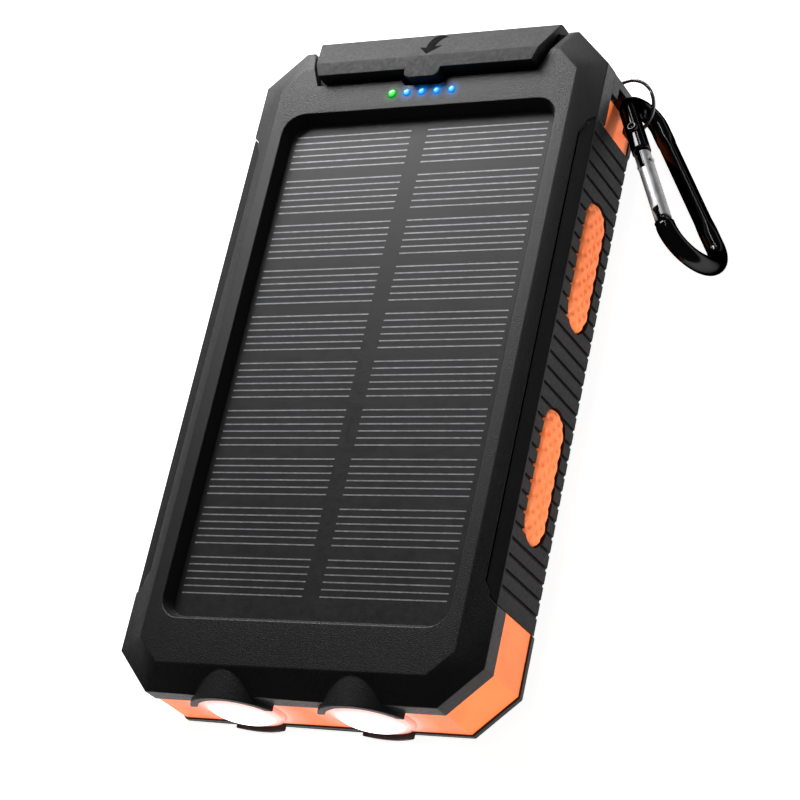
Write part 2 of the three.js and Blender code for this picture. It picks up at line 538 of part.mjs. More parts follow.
const clip = new THREE.Group();
const turns = [CARABINER.azimuth, CARABINER.climb, CARABINER.roll];
const [azimuth, climb, roll] = turns.map((degrees) => THREE.MathUtils.degToRad(degrees));
const along = new THREE.Vector3(
  Math.cos(azimuth) * Math.cos(climb), Math.sin(azimuth) * Math.cos(climb), Math.sin(climb));
const level = new THREE.Vector3(-Math.sin(azimuth), Math.cos(azimuth), 0);
const up = new THREE.Vector3().crossVectors(along, level);
const spineWay = level.clone().multiplyScalar(Math.sin(roll)).addScaledVector(up, -Math.cos(roll));
const through = new THREE.Vector3().crossVectors(along, spineWay);
clip.applyMatrix4(new THREE.Matrix4().makeBasis(along, spineWay, through));
clip.position.set(...CARABINER.apex);
charger.add(clip);

clip.add(place('carabiner_body', carabinerBody(), GLOSS_BLACK));
clip.add(place('carabiner_gate', carabinerGate(), STEEL));
clip.add(place('gate_rivet', rivetAt(GATE.rivet, GATE.radius + 0.15), STEEL));

export default charger;
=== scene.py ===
import json
import math

import bmesh
import bpy
import numpy as np
from mathutils import Matrix, Vector
from mathutils.bvhtree import BVHTree


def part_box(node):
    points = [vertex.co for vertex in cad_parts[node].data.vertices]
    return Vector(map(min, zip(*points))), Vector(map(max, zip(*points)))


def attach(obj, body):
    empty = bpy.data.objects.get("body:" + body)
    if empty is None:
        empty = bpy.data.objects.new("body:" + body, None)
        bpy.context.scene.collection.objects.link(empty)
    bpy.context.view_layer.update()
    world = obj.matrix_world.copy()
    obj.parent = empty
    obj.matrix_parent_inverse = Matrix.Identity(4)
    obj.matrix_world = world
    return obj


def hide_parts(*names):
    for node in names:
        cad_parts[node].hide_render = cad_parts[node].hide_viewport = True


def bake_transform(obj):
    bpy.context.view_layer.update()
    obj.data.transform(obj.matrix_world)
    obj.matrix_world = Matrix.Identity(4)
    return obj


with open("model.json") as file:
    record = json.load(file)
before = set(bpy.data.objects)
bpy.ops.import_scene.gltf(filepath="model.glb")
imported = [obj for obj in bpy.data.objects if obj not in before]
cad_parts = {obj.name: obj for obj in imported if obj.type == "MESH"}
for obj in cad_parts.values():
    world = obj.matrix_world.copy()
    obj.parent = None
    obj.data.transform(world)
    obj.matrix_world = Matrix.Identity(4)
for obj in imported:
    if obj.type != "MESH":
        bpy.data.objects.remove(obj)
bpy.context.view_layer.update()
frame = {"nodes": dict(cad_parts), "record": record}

MM = 0.001
NODES = frame["nodes"]
BODY_OF = {node: body for body, nodes in frame["record"]["behaviour"]["bodies"].items() for node in nodes}
SLOT_OF = {part["node"]: part["material_slot"] for part in frame["record"]["subparts"]}


# ---- Materials --------------------------------------------------------------------------
class Shader:
    """A principled material whose texture nodes read the object's own coordinates, in metres."""

    def __init__(self, name, roughness=0.5, metallic=0.0, **sockets):
        self.material = bpy.data.materials.new(name)
        self.material.use_nodes = True
        self.tree = self.material.node_tree
        self.bsdf = self.tree.nodes["Principled BSDF"]
        self.bsdf.inputs["Roughness"].default_value = roughness
        self.bsdf.inputs["Metallic"].default_value = metallic
        for socket, value in sockets.items():
            self.bsdf.inputs[socket.replace("_", " ")].default_value = value
        self.place = self.add("ShaderNodeTexCoord").outputs["Object"]
        self.bump_normal = None
        self.spill = None

    def add(self, kind, **settings):
        node = self.tree.nodes.new(kind)
        for key, value in settings.items():
            setattr(node, key, value)
        return node

    def link(self, source, target):
        self.tree.links.new(source, target)

    def stretched(self, scale):
        mapping = self.add("ShaderNodeMapping")
        mapping.inputs["Scale"].default_value = scale
        self.link(self.place, mapping.inputs["Vector"])
        return mapping.outputs["Vector"]

    def noise(self, size_mm, detail=3.0, roughness=0.55, stretch=None):
        node = self.add("ShaderNodeTexNoise")
        node.inputs["Scale"].default_value = 1.0 / (size_mm * MM)
        node.inputs["Detail"].default_value = detail
        node.inputs["Roughness"].default_value = roughness
        self.link(self.stretched(stretch) if stretch else self.place, node.inputs["Vector"])
        return node.outputs["Fac"]

    def ramp(self, factor, stops):
        node = self.add("ShaderNodeValToRGB")
        elements = node.color_ramp.elements
        while len(elements) < len(stops):
            elements.new(0.5)
        for element, (position, colour) in zip(elements, stops):
            element.position = position
            element.color = (*colour, 1.0)
        self.link(factor, node.inputs["Fac"])
        return node.outputs["Color"]

    def spread(self, factor, low, high, start=0.3, end=0.7):
        node = self.add("ShaderNodeMapRange")
        node.inputs["From Min"].default_value = start
        node.inputs["From Max"].default_value = end
        node.inputs["To Min"].default_value = low
        node.inputs["To Max"].default_value = high
        self.link(factor, node.inputs["Value"])
        return node.outputs["Result"]

    def mottle(self, dark, light, size_mm=6.0, stretch=None):
        """Slow drift between two close colours."""
        cloud = self.noise(size_mm, detail=5.0, stretch=stretch)
        self.link(self.ramp(cloud, [(0.3, dark), (0.7, light)]), self.bsdf.inputs["Base Color"])
        return self

    def polish(self, low, high, size_mm=2.0, stretch=None):
        """Roughness that wanders between two values."""
        cloud = self.noise(size_mm, detail=4.0, stretch=stretch)
        self.link(self.spread(cloud, low, high), self.bsdf.inputs["Roughness"])
        return self

    def grain(self, size_mm, depth_mm, strength=0.5, stretch=None, detail=2.0):
        """A fine raised texture; each call adds another scale on top."""
        bump = self.add("ShaderNodeBump")
        bump.inputs["Strength"].default_value = strength
        bump.inputs["Distance"].default_value = depth_mm * MM
        self.link(self.noise(size_mm, detail=detail, stretch=stretch), bump.inputs["Height"])
        if self.bump_normal is not None:
            self.link(self.bump_normal, bump.inputs["Normal"])
        self.bump_normal = bump.outputs["Normal"]
        self.link(self.bump_normal, self.bsdf.inputs["Normal"])
        return self

    def halo(self, centre, inner, outer, colour):
        """A soft spill of light painted on the surface round a point as emission, added to any halo before it.
        """
        away = self.add("ShaderNodeVectorMath", operation="DISTANCE")
        self.link(self.place, away.inputs[0])
        away.inputs[1].default_value = centre
        fade = self.ramp(self.spread(away.outputs["Value"], 0, 1, inner, outer),
                         [(0.0, colour), (0.35, tuple(0.3 * c for c in colour)), (1.0, (0, 0, 0))])
        if self.spill is not None:
            both = self.add("ShaderNodeVectorMath", operation="ADD")
            self.link(self.spill, both.inputs[0])
            self.link(fade, both.inputs[1])
            fade = both.outputs["Vector"]
        self.spill = fade
        self.link(fade, self.bsdf.inputs["Emission Color"])
        self.bsdf.inputs["Emission Strength"].default_value = 1.0
        return self

    def glow(self, colour, strength):
        self.bsdf.inputs["Emission Color"].default_value = (*colour, 1.0)
        self.bsdf.inputs["Emission Strength"].default_value = strength
        return self


def cover_plastic(name, halos=()):
    """Black moulded plastic with a fine spark-eroded grain, and the glow of any lights set in it painted on as
    emission.
    """
    shader = Shader(name, roughness=0.5, Specular_IOR_Level=0.34)
    shader.mottle((0.010, 0.010, 0.011), (0.014, 0.014, 0.015), size_mm=9)
    shader.polish(0.4, 0.56, size_mm=0.6)
    shader.grain(0.22, 0.08, strength=0.75, detail=1.0).grain(3.0, 0.02, strength=0.1)
    # painted glow: each light's spill is painted round it as emission on the plastic
    for centre, colour in halos:
        shader.halo(centre, 0.8 * MM, 2.3 * MM, colour)
    return shader.material


def grip_rubber():
    shader = Shader("grip_rubber", roughness=0.62, Specular_IOR_Level=0.2)
    shader.mottle((0.006, 0.006, 0.0065), (0.010, 0.010, 0.011), size_mm=5)
    shader.polish(0.5, 0.66, size_mm=0.8)
    return shader.grain(0.3, 0.04, strength=0.5).material


def flap_rubber():
    shader = Shader("flap_rubber", roughness=0.68, Specular_IOR_Level=0.42)
    shader.mottle((0.020, 0.020, 0.021), (0.027, 0.027, 0.029), size_mm=7)
    shader.polish(0.6, 0.75, size_mm=0.7)
    return shader.grain(0.22, 0.03, strength=0.5).material


def frame_orange():
    """Moulded orange plastic, with the glow that the lamps throw on it painted on as emission."""
    shader = Shader("frame_orange", roughness=0.45)
    shader.mottle((0.92, 0.165, 0.026), (0.98, 0.20, 0.036), size_mm=8)
    shader.polish(0.38, 0.5, size_mm=1.0).grain(0.4, 0.02, strength=0.3)
    # painted glow: a pinkish emission round each lens stands in for the lamp's light on the orange
    for side in ("left", "right"):
        low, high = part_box(f"lamp_lens_{side}")
        radius = (high.x - low.x) / 2
        shader.halo((low + high) / 2, radius, radius + 5 * MM, (0.55, 0.36, 0.4))
    return shader.material


def pad_orange():
    shader = Shader("pad_orange", roughness=0.6)
    shader.mottle((0.92, 0.18, 0.032), (0.99, 0.225, 0.045), size_mm=4)
    shader.polish(0.52, 0.66, size_mm=0.8)
    return shader.grain(0.3, 0.03, strength=0.35).material


def solar_laminate():
    """Dark cell behind a matt laminate: slow cloudiness along the cell and a fine grain."""
    shader = Shader("solar_laminate", roughness=0.4, Specular_IOR_Level=0.28)
    shader.mottle((0.017, 0.017, 0.018), (0.025, 0.025, 0.027), size_mm=14, stretch=(1.0, 0.4, 1.0))
    shader.polish(0.38, 0.5, size_mm=1.5)
    return shader.grain(0.4, 0.04, strength=0.5).material


def printed_silver():
    shader = Shader("printed_silver", roughness=0.45, metallic=0.3)
    shader.mottle((0.22, 0.22, 0.23), (0.42, 0.42, 0.44), size_mm=1.2)
    return shader.polish(0.4, 0.55, size_mm=0.5).material


def metal(name, dark, light, low, high, stretch=None, size_mm=1.0, metallic=1.0):
    shader = Shader(name, metallic=metallic)
    shader.mottle(dark, light, size_mm=size_mm * 3, stretch=stretch)
    shader.polish(low, high, size_mm=size_mm, stretch=stretch)
    return shader.grain(size_mm * 0.3, 0.01, strength=0.25, stretch=stretch).material


def gloss_black():
    """Thick gloss lacquer with a faint orange-peel ripple."""
    shader = Shader("gloss_black", roughness=0.12, metallic=1.0, Specular_Tint=(0.1, 0.1, 0.1, 1))
    shader.mottle((0.03, 0.03, 0.03), (0.036, 0.036, 0.036), size_mm=3)
    shader.polish(0.08, 0.15, size_mm=1.5)
    return shader.grain(1.2, 0.01, strength=0.12).material


def plain(name, dark, light, low, high, size_mm=2.0, grain=0.3, specular=0.5):
    shader = Shader(name, Specular_IOR_Level=specular)
    shader.mottle(dark, light, size_mm=size_mm)
    shader.polish(low, high, size_mm=size_mm / 2)
    return shader.grain(grain, 0.02, strength=0.3).material


def circuit_green():
    """Solder mask with darker traces."""
    shader = Shader("circuit_green", roughness=0.35)
    brick = shader.add("ShaderNodeTexBrick")
    brick.inputs["Scale"].default_value = 260.0
    brick.inputs["Mortar Size"].default_value = 0.03
    brick.inputs["Color1"].default_value = (0.012, 0.075, 0.035, 1)
    brick.inputs["Color2"].default_value = (0.015, 0.090, 0.042, 1)
    brick.inputs["Mortar"].default_value = (0.03, 0.15, 0.07, 1)
    shader.link(shader.place, brick.inputs["Vector"])
    shader.link(brick.outputs["Color"], shader.bsdf.inputs["Base Color"])
    return shader.polish(0.28, 0.4).grain(0.6, 0.02, strength=0.2).material


LAMP_GLOW = 7.0                  # emission strength at the middle of a lens


def lamp_glow(centre, radius):
    """White at the middle of the lens, fading to a warm pink rim."""
    shader = Shader("lamp_glow", roughness=0.18)
    away = shader.add("ShaderNodeVectorMath", operation="DISTANCE")
    flat = shader.add("ShaderNodeVectorMath", operation="MULTIPLY")
    flat.inputs[1].default_value = (1, 0, 1)
    shader.link(shader.place, flat.inputs[0])
    shader.link(flat.outputs["Vector"], away.inputs[0])
    away.inputs[1].default_value = (centre.x, 0, centre.z)
    reach = shader.spread(away.outputs["Value"], 0, 1, 0, radius)
    colour = shader.ramp(reach, [(0.0, (1, 1, 1)), (0.5, (1, 0.97, 0.97)), (0.72, (1, 0.76, 0.74)),
                                 (0.95, (1, 0.4, 0.3))])
    shader.link(colour, shader.bsdf.inputs["Emission Color"])
    shader.link(colour, shader.bsdf.inputs["Base Color"])
    glow = shader.ramp(reach, [(0.0, (1, 1, 1)), (0.5, (0.4, 0.4, 0.4)), (0.72, (0.13, 0.13, 0.13)),
                               (0.95, (0.06, 0.06, 0.06))])
    shader.link(shader.spread(glow, 0, LAMP_GLOW, 0, 1), shader.bsdf.inputs["Emission Strength"])
    return shader.grain(0.8, 0.02, strength=0.15).material


def indicator(name, core, rim, centre, radius, strength):
    """A lit diffuser, paler over the chip in the middle."""
    shader = Shader(name, roughness=0.25)
    away = shader.add("ShaderNodeVectorMath", operation="DISTANCE")
    shader.link(shader.place, away.inputs[0])
    away.inputs[1].default_value = centre
    reach = shader.spread(away.outputs["Value"], 0, 1, 0, radius)
    colour = shader.ramp(reach, [(0.0, core), (0.45, core), (0.9, rim)])
    shader.link(colour, shader.bsdf.inputs["Emission Color"])
    shader.link(colour, shader.bsdf.inputs["Base Color"])
    shader.bsdf.inputs["Emission Strength"].default_value = strength
    return shader.grain(0.3, 0.01, strength=0.2).material


# Colours of the painted light round the indicators: emission on the cover that stands in for the light they
# spill.
GREEN_PAINTED_SPILL = (0.0, 0.16, 0.015)
BLUE_PAINTED_SPILL = (0.0, 0.12, 0.42)


def painted_indicator_spill():
    """The top of each indicator light with the colour of its spill, which is painted round it as emission on
    the cover.
    """
    spots = []
    for number in range(1, 6):
        low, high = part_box(f"indicator_light_{number}")
        top = Vector(((low.x + high.x) / 2, (low.y + high.y) / 2, high.z))
        spots.append((top, GREEN_PAINTED_SPILL if number == 1 else BLUE_PAINTED_SPILL))
    return spots


BLACK = cover_plastic("cover_plastic")
FRONT = cover_plastic("front_cover_plastic_painted_glow", painted_indicator_spill())
GRIP = grip_rubber()
FLAP = flap_rubber()
ORANGE = frame_orange()
PAD = pad_orange()
PANEL = solar_laminate()
SILVER = printed_silver()
CARABINER = gloss_black()
RING = metal("ring_steel", (0.09, 0.09, 0.095), (0.18, 0.18, 0.19), 0.22, 0.34)
GATE = metal("gate_aluminium", (0.20, 0.20, 0.205), (0.32, 0.32, 0.325), 0.38, 0.5,
             stretch=(1, 0.15, 1), size_mm=0.4, metallic=0.7)
STEEL = metal("socket_steel", (0.5, 0.5, 0.51), (0.66, 0.66, 0.67), 0.25, 0.4)
SCREW = metal("screw_steel", (0.10, 0.10, 0.11), (0.2, 0.2, 0.21), 0.3, 0.45)
MIRROR = metal("lamp_mirror", (0.8, 0.8, 0.8), (0.9, 0.9, 0.9), 0.05, 0.1)
FOIL = metal("cell_foil", (0.5, 0.5, 0.52), (0.62, 0.62, 0.64), 0.35, 0.5)
GREEN = circuit_green()
CHIP = plain("chip_black", (0.012, 0.012, 0.013), (0.02, 0.02, 0.021), 0.4, 0.55)
FOAM = plain("foam_grey", (0.03, 0.03, 0.032), (0.06, 0.06, 0.062), 0.85, 0.95, grain=0.8)
WHITE = plain("white_plastic", (0.72, 0.71, 0.68), (0.82, 0.81, 0.78), 0.35, 0.5)
RED = plain("wire_red", (0.42, 0.02, 0.015), (0.55, 0.03, 0.02), 0.35, 0.5)
WIRE_BLACK = plain("wire_black", (0.012, 0.012, 0.012), (0.02, 0.02, 0.02), 0.35, 0.5)
INK = plain("moulded_mark", (0.002, 0.002, 0.002), (0.004, 0.004, 0.004), 0.85, 0.95, specular=0.1)

LOOKS = {
    "cover_black": BLACK, "grip_rubber": GRIP, "frame_orange": ORANGE, "pad_orange": PAD, "flap_rubber": FLAP,
    "solar_cell": PANEL, "reflector": MIRROR, "white_plastic": WHITE, "socket_steel": STEEL,
    "screw_steel": SCREW, "ring_steel": RING, "carabiner_black": CARABINER, "gate_aluminium": GATE,
    "circuit_board": GREEN, "chip_black": CHIP, "cell_foil": FOIL, "foam": FOAM, "wire_red": RED,
    "wire_black": WIRE_BLACK, "lamp_lens": WHITE, "glow_green": WHITE, "glow_blue": WHITE,
}


# ---- Pieces -----------------------------------------------------------------------------
def piece(name, mesh, material, body, replaces=()):
    """A new visible piece that rides on a CAD body."""
    thing = bpy.data.objects.new(name, mesh)
    bpy.context.scene.collection.objects.link(thing)
    mesh.materials.clear()
    mesh.materials.append(material)
    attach(thing, body)
    if replaces:
        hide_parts(*replaces)
    return thing


def mesh_of(bm, name, smooth=True):
    bmesh.ops.recalc_face_normals(bm, faces=bm.faces)
    mesh = bpy.data.meshes.new(name)
    bm.to_mesh(mesh)
    bm.free()
    for polygon in mesh.polygons:
        polygon.use_smooth = smooth
    return mesh


def even_normals(thing):
    modifier = thing.modifiers.new("normals", "WEIGHTED_NORMAL")
    modifier.keep_sharp = True
    modifier.weight = 90


CREASE = math.radians(50)        # steeper edges keep a hard line


def refined(node, radius_mm, shortest_mm=0.0, above_degrees=19, segments=2, look=None):
    """The CAD shell again, welded, with its flat faces merged and its longer edges rounded."""
    bm = bmesh.new()
    bm.from_mesh(NODES[node].data)
    bmesh.ops.remove_doubles(bm, verts=bm.verts, dist=0.004 * MM)
    bmesh.ops.dissolve_limit(bm, angle_limit=math.radians(0.6), verts=bm.verts, edges=bm.edges)
    limit = math.radians(above_degrees)
    sharp = [edge for edge in bm.edges if len(edge.link_faces) == 2 and edge.calc_face_angle(0) > limit
             and edge.calc_length() > shortest_mm * MM]
    bmesh.ops.bevel(bm, geom=sharp, offset=radius_mm * MM, offset_type="OFFSET", segments=segments,
                    profile=0.5, affect="EDGES", clamp_overlap=False)
    bmesh.ops.triangulate(bm, faces=[face for face in bm.faces if len(face.verts) > 4])
    for edge in bm.edges:
        edge.smooth = len(edge.link_faces) != 2 or edge.calc_face_angle(0) < CREASE
    slot = SLOT_OF[node]
    thing = piece(f"{node}_shell", mesh_of(bm, node), look or LOOKS[slot], BODY_OF[node], [node])
    even_normals(thing)
    return thing


def lathe(profile, sides, origin, out):
    """A profile of (radius, height) in mm turned round an axis."""
    bm = bmesh.new()
    turn = out.to_track_quat("Z", "Y")
    rings = []
    for radius, height in profile:
        if radius == 0:
            rings.append([bm.verts.new(origin + turn @ Vector((0, 0, height * MM)))])
            continue
        angles = [2 * math.pi * i / sides for i in range(sides)]
        rings.append([bm.verts.new(origin + turn @ Vector((radius * MM * math.cos(a), radius * MM * math.sin(a),
                                                           height * MM))) for a in angles])
    for low, high in zip(rings, rings[1:]):
        for i in range(sides):
            j = (i + 1) % sides
            corners = [low[i % len(low)], low[j % len(low)], high[j % len(high)], high[i % len(high)]]
            corners = list(dict.fromkeys(corners))
            if len(corners) > 2:
                bm.faces.new(corners)
    return bm


def sweep(path, section, closed=False):
    """A section, given by step, carried along a path: section(i) lists (across, through) in metres."""
    bm = bmesh.new()
    rings = []
    for i, (point, across, through) in enumerate(path):
        rings.append([bm.verts.new(point + across * u + through * v) for u, v in section(i)])
    n = len(rings[0])
    pairs = list(zip(rings, rings[1:]))
    if closed:
        pairs.append((rings[-1], rings[0]))
    for low, high in pairs:
        for i in range(n):
            j = (i + 1) % n
            bm.faces.new([low[i], low[j], high[j], high[i]])
    if not closed:
        bm.faces.new(rings[0])
        bm.faces.new(rings[-1])
    return bm


# ---- Shells, grips and flap -------------------------------------------------------------
ROUNDING = {
    "middle_frame": 0.12, "lanyard_corner": 0.15, "port_cover": 0.2,
    "side_grip_left": 0.12, "side_grip_right": 0.12, "power_button": 0.3, "usb_socket_1": 0.08,
    "usb_socket_2": 0.08, "input_socket": 0.08, "usb_tongue_1": 0.12, "usb_tongue_2": 0.12,
    "rear_screw_1": 0.1, "rear_screw_2": 0.1, "rear_screw_3": 0.1, "rear_screw_4": 0.1,
}
for shell, rounding in ROUNDING.items():
    refined(shell, rounding)
refined("front_cover", 0.2, shortest_mm=0.6, look=FRONT)
refined("rear_cover", 0.15, shortest_mm=0.7)


# ---- Solar panel ------------------------------------------------------------------------
def panel():
    """The laminate sheet with its printed collector lines in two columns of ten groups."""
    low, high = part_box("solar_panel")
    bm = bmesh.new()
    columns, rows = 24, 44
    top = [[bm.verts.new((low.x + (high.x - low.x) * i / columns, low.y + (high.y - low.y) * j / rows, high.z))
            for i in range(columns + 1)] for j in range(rows + 1)]
    for j in range(rows):
        for i in range(columns):
            bm.faces.new([top[j][i], top[j][i + 1], top[j + 1][i + 1], top[j + 1][i]])
    edge = bmesh.ops.extrude_edge_only(bm, edges=[e for e in bm.edges if e.is_boundary])
    skirt = [v for v in edge["geom"] if isinstance(v, bmesh.types.BMVert)]
    bmesh.ops.translate(bm, verts=skirt, vec=(0, 0, low.z - high.z))
    bmesh.ops.holes_fill(bm, edges=[e for e in bm.edges if e.is_boundary])
    sheet = piece("solar_panel_laminate", mesh_of(bm, "laminate", smooth=False), PANEL, "case",
                  ["solar_panel"])
    bevel = sheet.modifiers.new("edge", "BEVEL")
    bevel.width = 0.1 * MM
    bevel.limit_method = "ANGLE"

    bm = bmesh.new()
    middle = (low.y + high.y) / 2 + 0.85 * MM
    inner, outer, half, height = 1.87 * MM, 28.9 * MM, 0.13 * MM, 0.02 * MM
    pitch, group_pitch = 1.486 * MM, 10.4 * MM
    for group in range(10):
        for line in range(6):
            y = middle + (4.5 - group) * group_pitch + (2.5 - line) * pitch
            for side in (-1, 1):
                at = Matrix.Translation((side * (inner + outer) / 2, y, high.z + height / 2))
                size = Matrix.Diagonal((outer - inner, 2 * half, height, 1))
                bmesh.ops.create_cube(bm, size=1, matrix=at @ size)
    piece("solar_panel_lines", mesh_of(bm, "lines", smooth=False), SILVER, "case")


panel()


# ---- Grip pads --------------------------------------------------------------------------
def grip_pad(node):
    """A domed rubber insert with staggered dimples and a lightly scalloped edge."""
    low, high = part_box(node)
    side = 1 if high.x > 0 else -1
    length, height = high.y - low.y, high.z - low.z
    centre = (low + high) / 2
    radius, run = height / 2, (length - height) / 2
    back = low.x if side > 0 else high.x
    proud = (high.x - low.x) + 0.15 * MM
    pitch = 3.157 * MM
    around, rings = 240, 34

    def rim(t):
        """The stadium's outline at share t of its length round, with its outward normal."""
        straight, arc = 2 * run, math.pi * radius
        s = t * (2 * straight + 2 * arc)
        if s < straight:
            return Vector((-run + s, -radius)), Vector((0, -1))
        s -= straight
        if s < arc:
            angle = s / radius - math.pi / 2
            normal = Vector((math.cos(angle), math.sin(angle)))
            return Vector((run, 0)) + normal * radius, normal
        s -= arc
        if s < straight:
            return Vector((run - s, radius)), Vector((0, 1))
        angle = (s - straight) / radius + math.pi / 2
        normal = Vector((math.cos(angle), math.sin(angle)))
        return Vector((-run, 0)) + normal * radius, normal

    def dimple(y, z):
        depth = 0.0
        row_pitch = pitch / 2
        nearest = round(y / row_pitch)
        for row in (nearest - 1, nearest, nearest + 1):
            columns = (-2.8, 0.0, 2.8) if row % 2 else (-1.4, 1.4)
            for column in columns:
                d = math.hypot(y - row * row_pitch, z - column * MM) / (0.85 * MM)
                if d < 1:
                    depth = max(depth, (1 - d * d) ** 2)
        return depth

    bm = bmesh.new()
    loops = []
    for ring in range(rings):
        share = ring / rings
        edge = 1 - share
        loop = []
        for k in range(around):
            point, normal = rim(k / around)
            scallop = 0.36 * MM * (0.5 - 0.5 * math.cos(2 * math.pi * point.x / pitch)) * abs(normal.y)
            spine = Vector((max(-run, min(run, point.x)), 0))
            at = spine + (point - normal * scallop - spine) * edge
            dome = (1 - edge ** 6) * proud
            depth = 0.42 * MM * dimple(at.x, at.y) * min(1.0, share * 8)
            loop.append(bm.verts.new((back + side * (dome - depth), centre.y + at.x, centre.z + at.y)))
        loops.append(loop)
    for outer, inner in zip(loops, loops[1:]):
        for k in range(around):
            n = (k + 1) % around
            bm.faces.new([outer[k], outer[n], inner[n], inner[k]])
    bm.faces.new(loops[0])
    bm.faces.new(loops[-1])
    bmesh.ops.triangulate(bm, faces=[face for face in bm.faces if len(face.verts) > 4])
    piece(f"{node}_insert", mesh_of(bm, node), PAD, "case", [node])


for pad in [node for node in NODES if node.startswith("grip_pad")]:
    grip_pad(pad)


# ---- Lamps ------------------------------------------------------------------------------
def lamp(side):
    """Domed lens with a stepped rim over its mirror cup."""
    low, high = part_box(f"lamp_lens_{side}")
    centre = (low + high) / 2
    radius = (high.x - low.x) / 2 / MM
    deep = (high.y - low.y) / MM
    profile = [(0, 0), (radius, 0), (radius, 0.75), (radius - 0.12, 0.95),
               (radius - 0.9, 1.05), (radius - 1.0, 1.0)]
    bulge = 16
    inner = radius - 1.15
    for i in range(bulge + 1):
        angle = math.pi / 2 * i / bulge
        across = inner * math.cos(angle) if i < bulge else 0
        profile.append((across, 1.0 + (deep - 1.0) * math.sin(angle) ** 1.4))
    origin = Vector((centre.x, high.y, centre.z))
    bm = lathe(profile, 96, origin, Vector((0, -1, 0)))
    lens = piece(f"lamp_dome_{side}", mesh_of(bm, "lens"), lamp_glow(centre, radius * MM), "case",
                 [f"lamp_lens_{side}"])
    even_normals(lens)


lamp("left")
lamp("right")


# ---- Indicator lights -------------------------------------------------------------------
def indicators():
    for number in range(1, 6):
        node = f"indicator_light_{number}"
        low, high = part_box(node)
        centre = (low + high) / 2
        radius = (high.x - low.x) / 2 / MM
        tall = (high.z - low.z) / MM
        dome = [(radius * math.cos(math.pi / 2 * i / 8) if i < 8 else 0,
                 tall + 0.22 * math.sin(math.pi / 2 * i / 8)) for i in range(9)]
        bm = lathe([(0, 0), (radius, 0), (radius, tall * 0.5), *dome], 32, Vector((centre.x, centre.y, low.z)),
                   Vector((0, 0, 1)))
        top = (centre.x, centre.y, high.z)
        if number == 1:
            look = indicator(f"lit_{number}", (0.03, 0.75, 0.05), (0.0, 0.28, 0.01), top, radius * MM, 0.95)
        else:
            look = indicator(f"lit_{number}", (0.04, 0.5, 1.0), (0.0, 0.16, 0.75), top, radius * MM, 0.95)
        piece(f"{node}_dome", mesh_of(bm, node), look, "case", [node])


indicators()


# ---- Key ring ---------------------------------------------------------------------------
def split_ring():
    """Two turns of wire lying on each other, with both ends free."""
    low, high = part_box("key_ring")
    centre = (low + high) / 2
    points = np.array([v.co for v in NODES["key_ring"].data.vertices]) - np.array(centre)
    normal = Vector(np.linalg.svd(points, full_matrices=False)[2][2])
    if normal.z < 0:
        normal = -normal
    radius = float(np.linalg.norm(points, axis=1).mean())
    first = normal.orthogonal().normalized()
    second = normal.cross(first)
    turns, steps, wire = 1.96, 220, 0.26 * MM

    def at(i):
        angle = 2 * math.pi * turns * i / steps
        out = first * math.cos(angle) + second * math.sin(angle)
        lift = 0.5 * MM * (i / steps - 0.5)
        return centre + out * radius + normal * lift, out, normal

    taper = [min(1.0, 0.5 + min(i, steps - i) / 4) for i in range(steps + 1)]
    circle = [(math.cos(2 * math.pi * k / 12), math.sin(2 * math.pi * k / 12)) for k in range(12)]
    bm = sweep([at(i) for i in range(steps + 1)],
               lambda i: [(wire * 1.35 * u * taper[i], wire * v * taper[i]) for u, v in circle])
    piece("key_ring_coil", mesh_of(bm, "coil"), RING, "ring", ["key_ring"])


split_ring()


# ---- Carabiner --------------------------------------------------------------------------
# Its own frame: x from the narrow end to the wide end, y towards the spine, z through it.
CLIP = {"apex": (41.7, 59.85, 7.1), "azimuth": -60.7, "climb": 5.2, "roll": 22.5,
        "narrow": 4.3, "wide": 6.9, "reach": 32.5, "bar": 1.9}
GATE_LINE = {"from": 12.6, "to": 31.3, "pivot": 15.2, "radius": 1.65, "bar_end": 11.8, "nose": 31.8,
             "tab": 1.2, "slot": 1.6, "rivet": 0.6}


def clip_frame():
    azimuth, climb, roll = (math.radians(CLIP[key]) for key in ("azimuth", "climb", "roll"))
    along = Vector((math.cos(azimuth) * math.cos(climb), math.sin(azimuth) * math.cos(climb), math.sin(climb)))
    level = Vector((-math.sin(azimuth), math.cos(azimuth), 0))
    spine = level * math.sin(roll) - along.cross(level) * math.cos(roll)
    through = along.cross(spine)
    turn = Matrix((along, spine, through)).transposed().to_4x4()
    return Matrix.Translation(Vector(CLIP["apex"]) * MM) @ turn


TO_WORLD = clip_frame()
TAPER = (CLIP["wide"] - CLIP["narrow"]) / CLIP["reach"]
LEAN = math.asin(TAPER)


def on_gate(s):
    """A point on the gate's centreline, s mm from where the narrow arc leaves it."""
    return Vector((CLIP["narrow"] - TAPER * CLIP["narrow"] + math.cos(LEAN) * s,
                   -math.cos(LEAN) * CLIP["narrow"] - TAPER * s, 0))


def arc(centre_x, radius, start, end, steps):
    return [Vector((centre_x + radius * math.cos(a), radius * math.sin(a), 0))
            for a in np.linspace(start, end, steps)]


BAR_END = (0, 0.25, 0.5, 2.5, 4.5)      # mm back from the bar's end
NARROW_STEPS = 44
SPINE_START = len(BAR_END) + NARROW_STEPS


def bar_path():
    right = math.pi / 2 + LEAN
    points = [on_gate(GATE_LINE["bar_end"] - d) for d in BAR_END]
    points += arc(CLIP["narrow"], CLIP["narrow"], -right, -2 * math.pi + right, NARROW_STEPS)
    spine_start, spine_end = points[-1], Vector((CLIP["narrow"] + CLIP["reach"], 0, 0)) + Vector(
        (math.cos(right), math.sin(right), 0)) * CLIP["wide"]
    points += [spine_start.lerp(spine_end, i / 40) for i in range(1, 40)]
    points += arc(CLIP["narrow"] + CLIP["reach"], CLIP["wide"], right, -right + 0.02, 56)
    return points


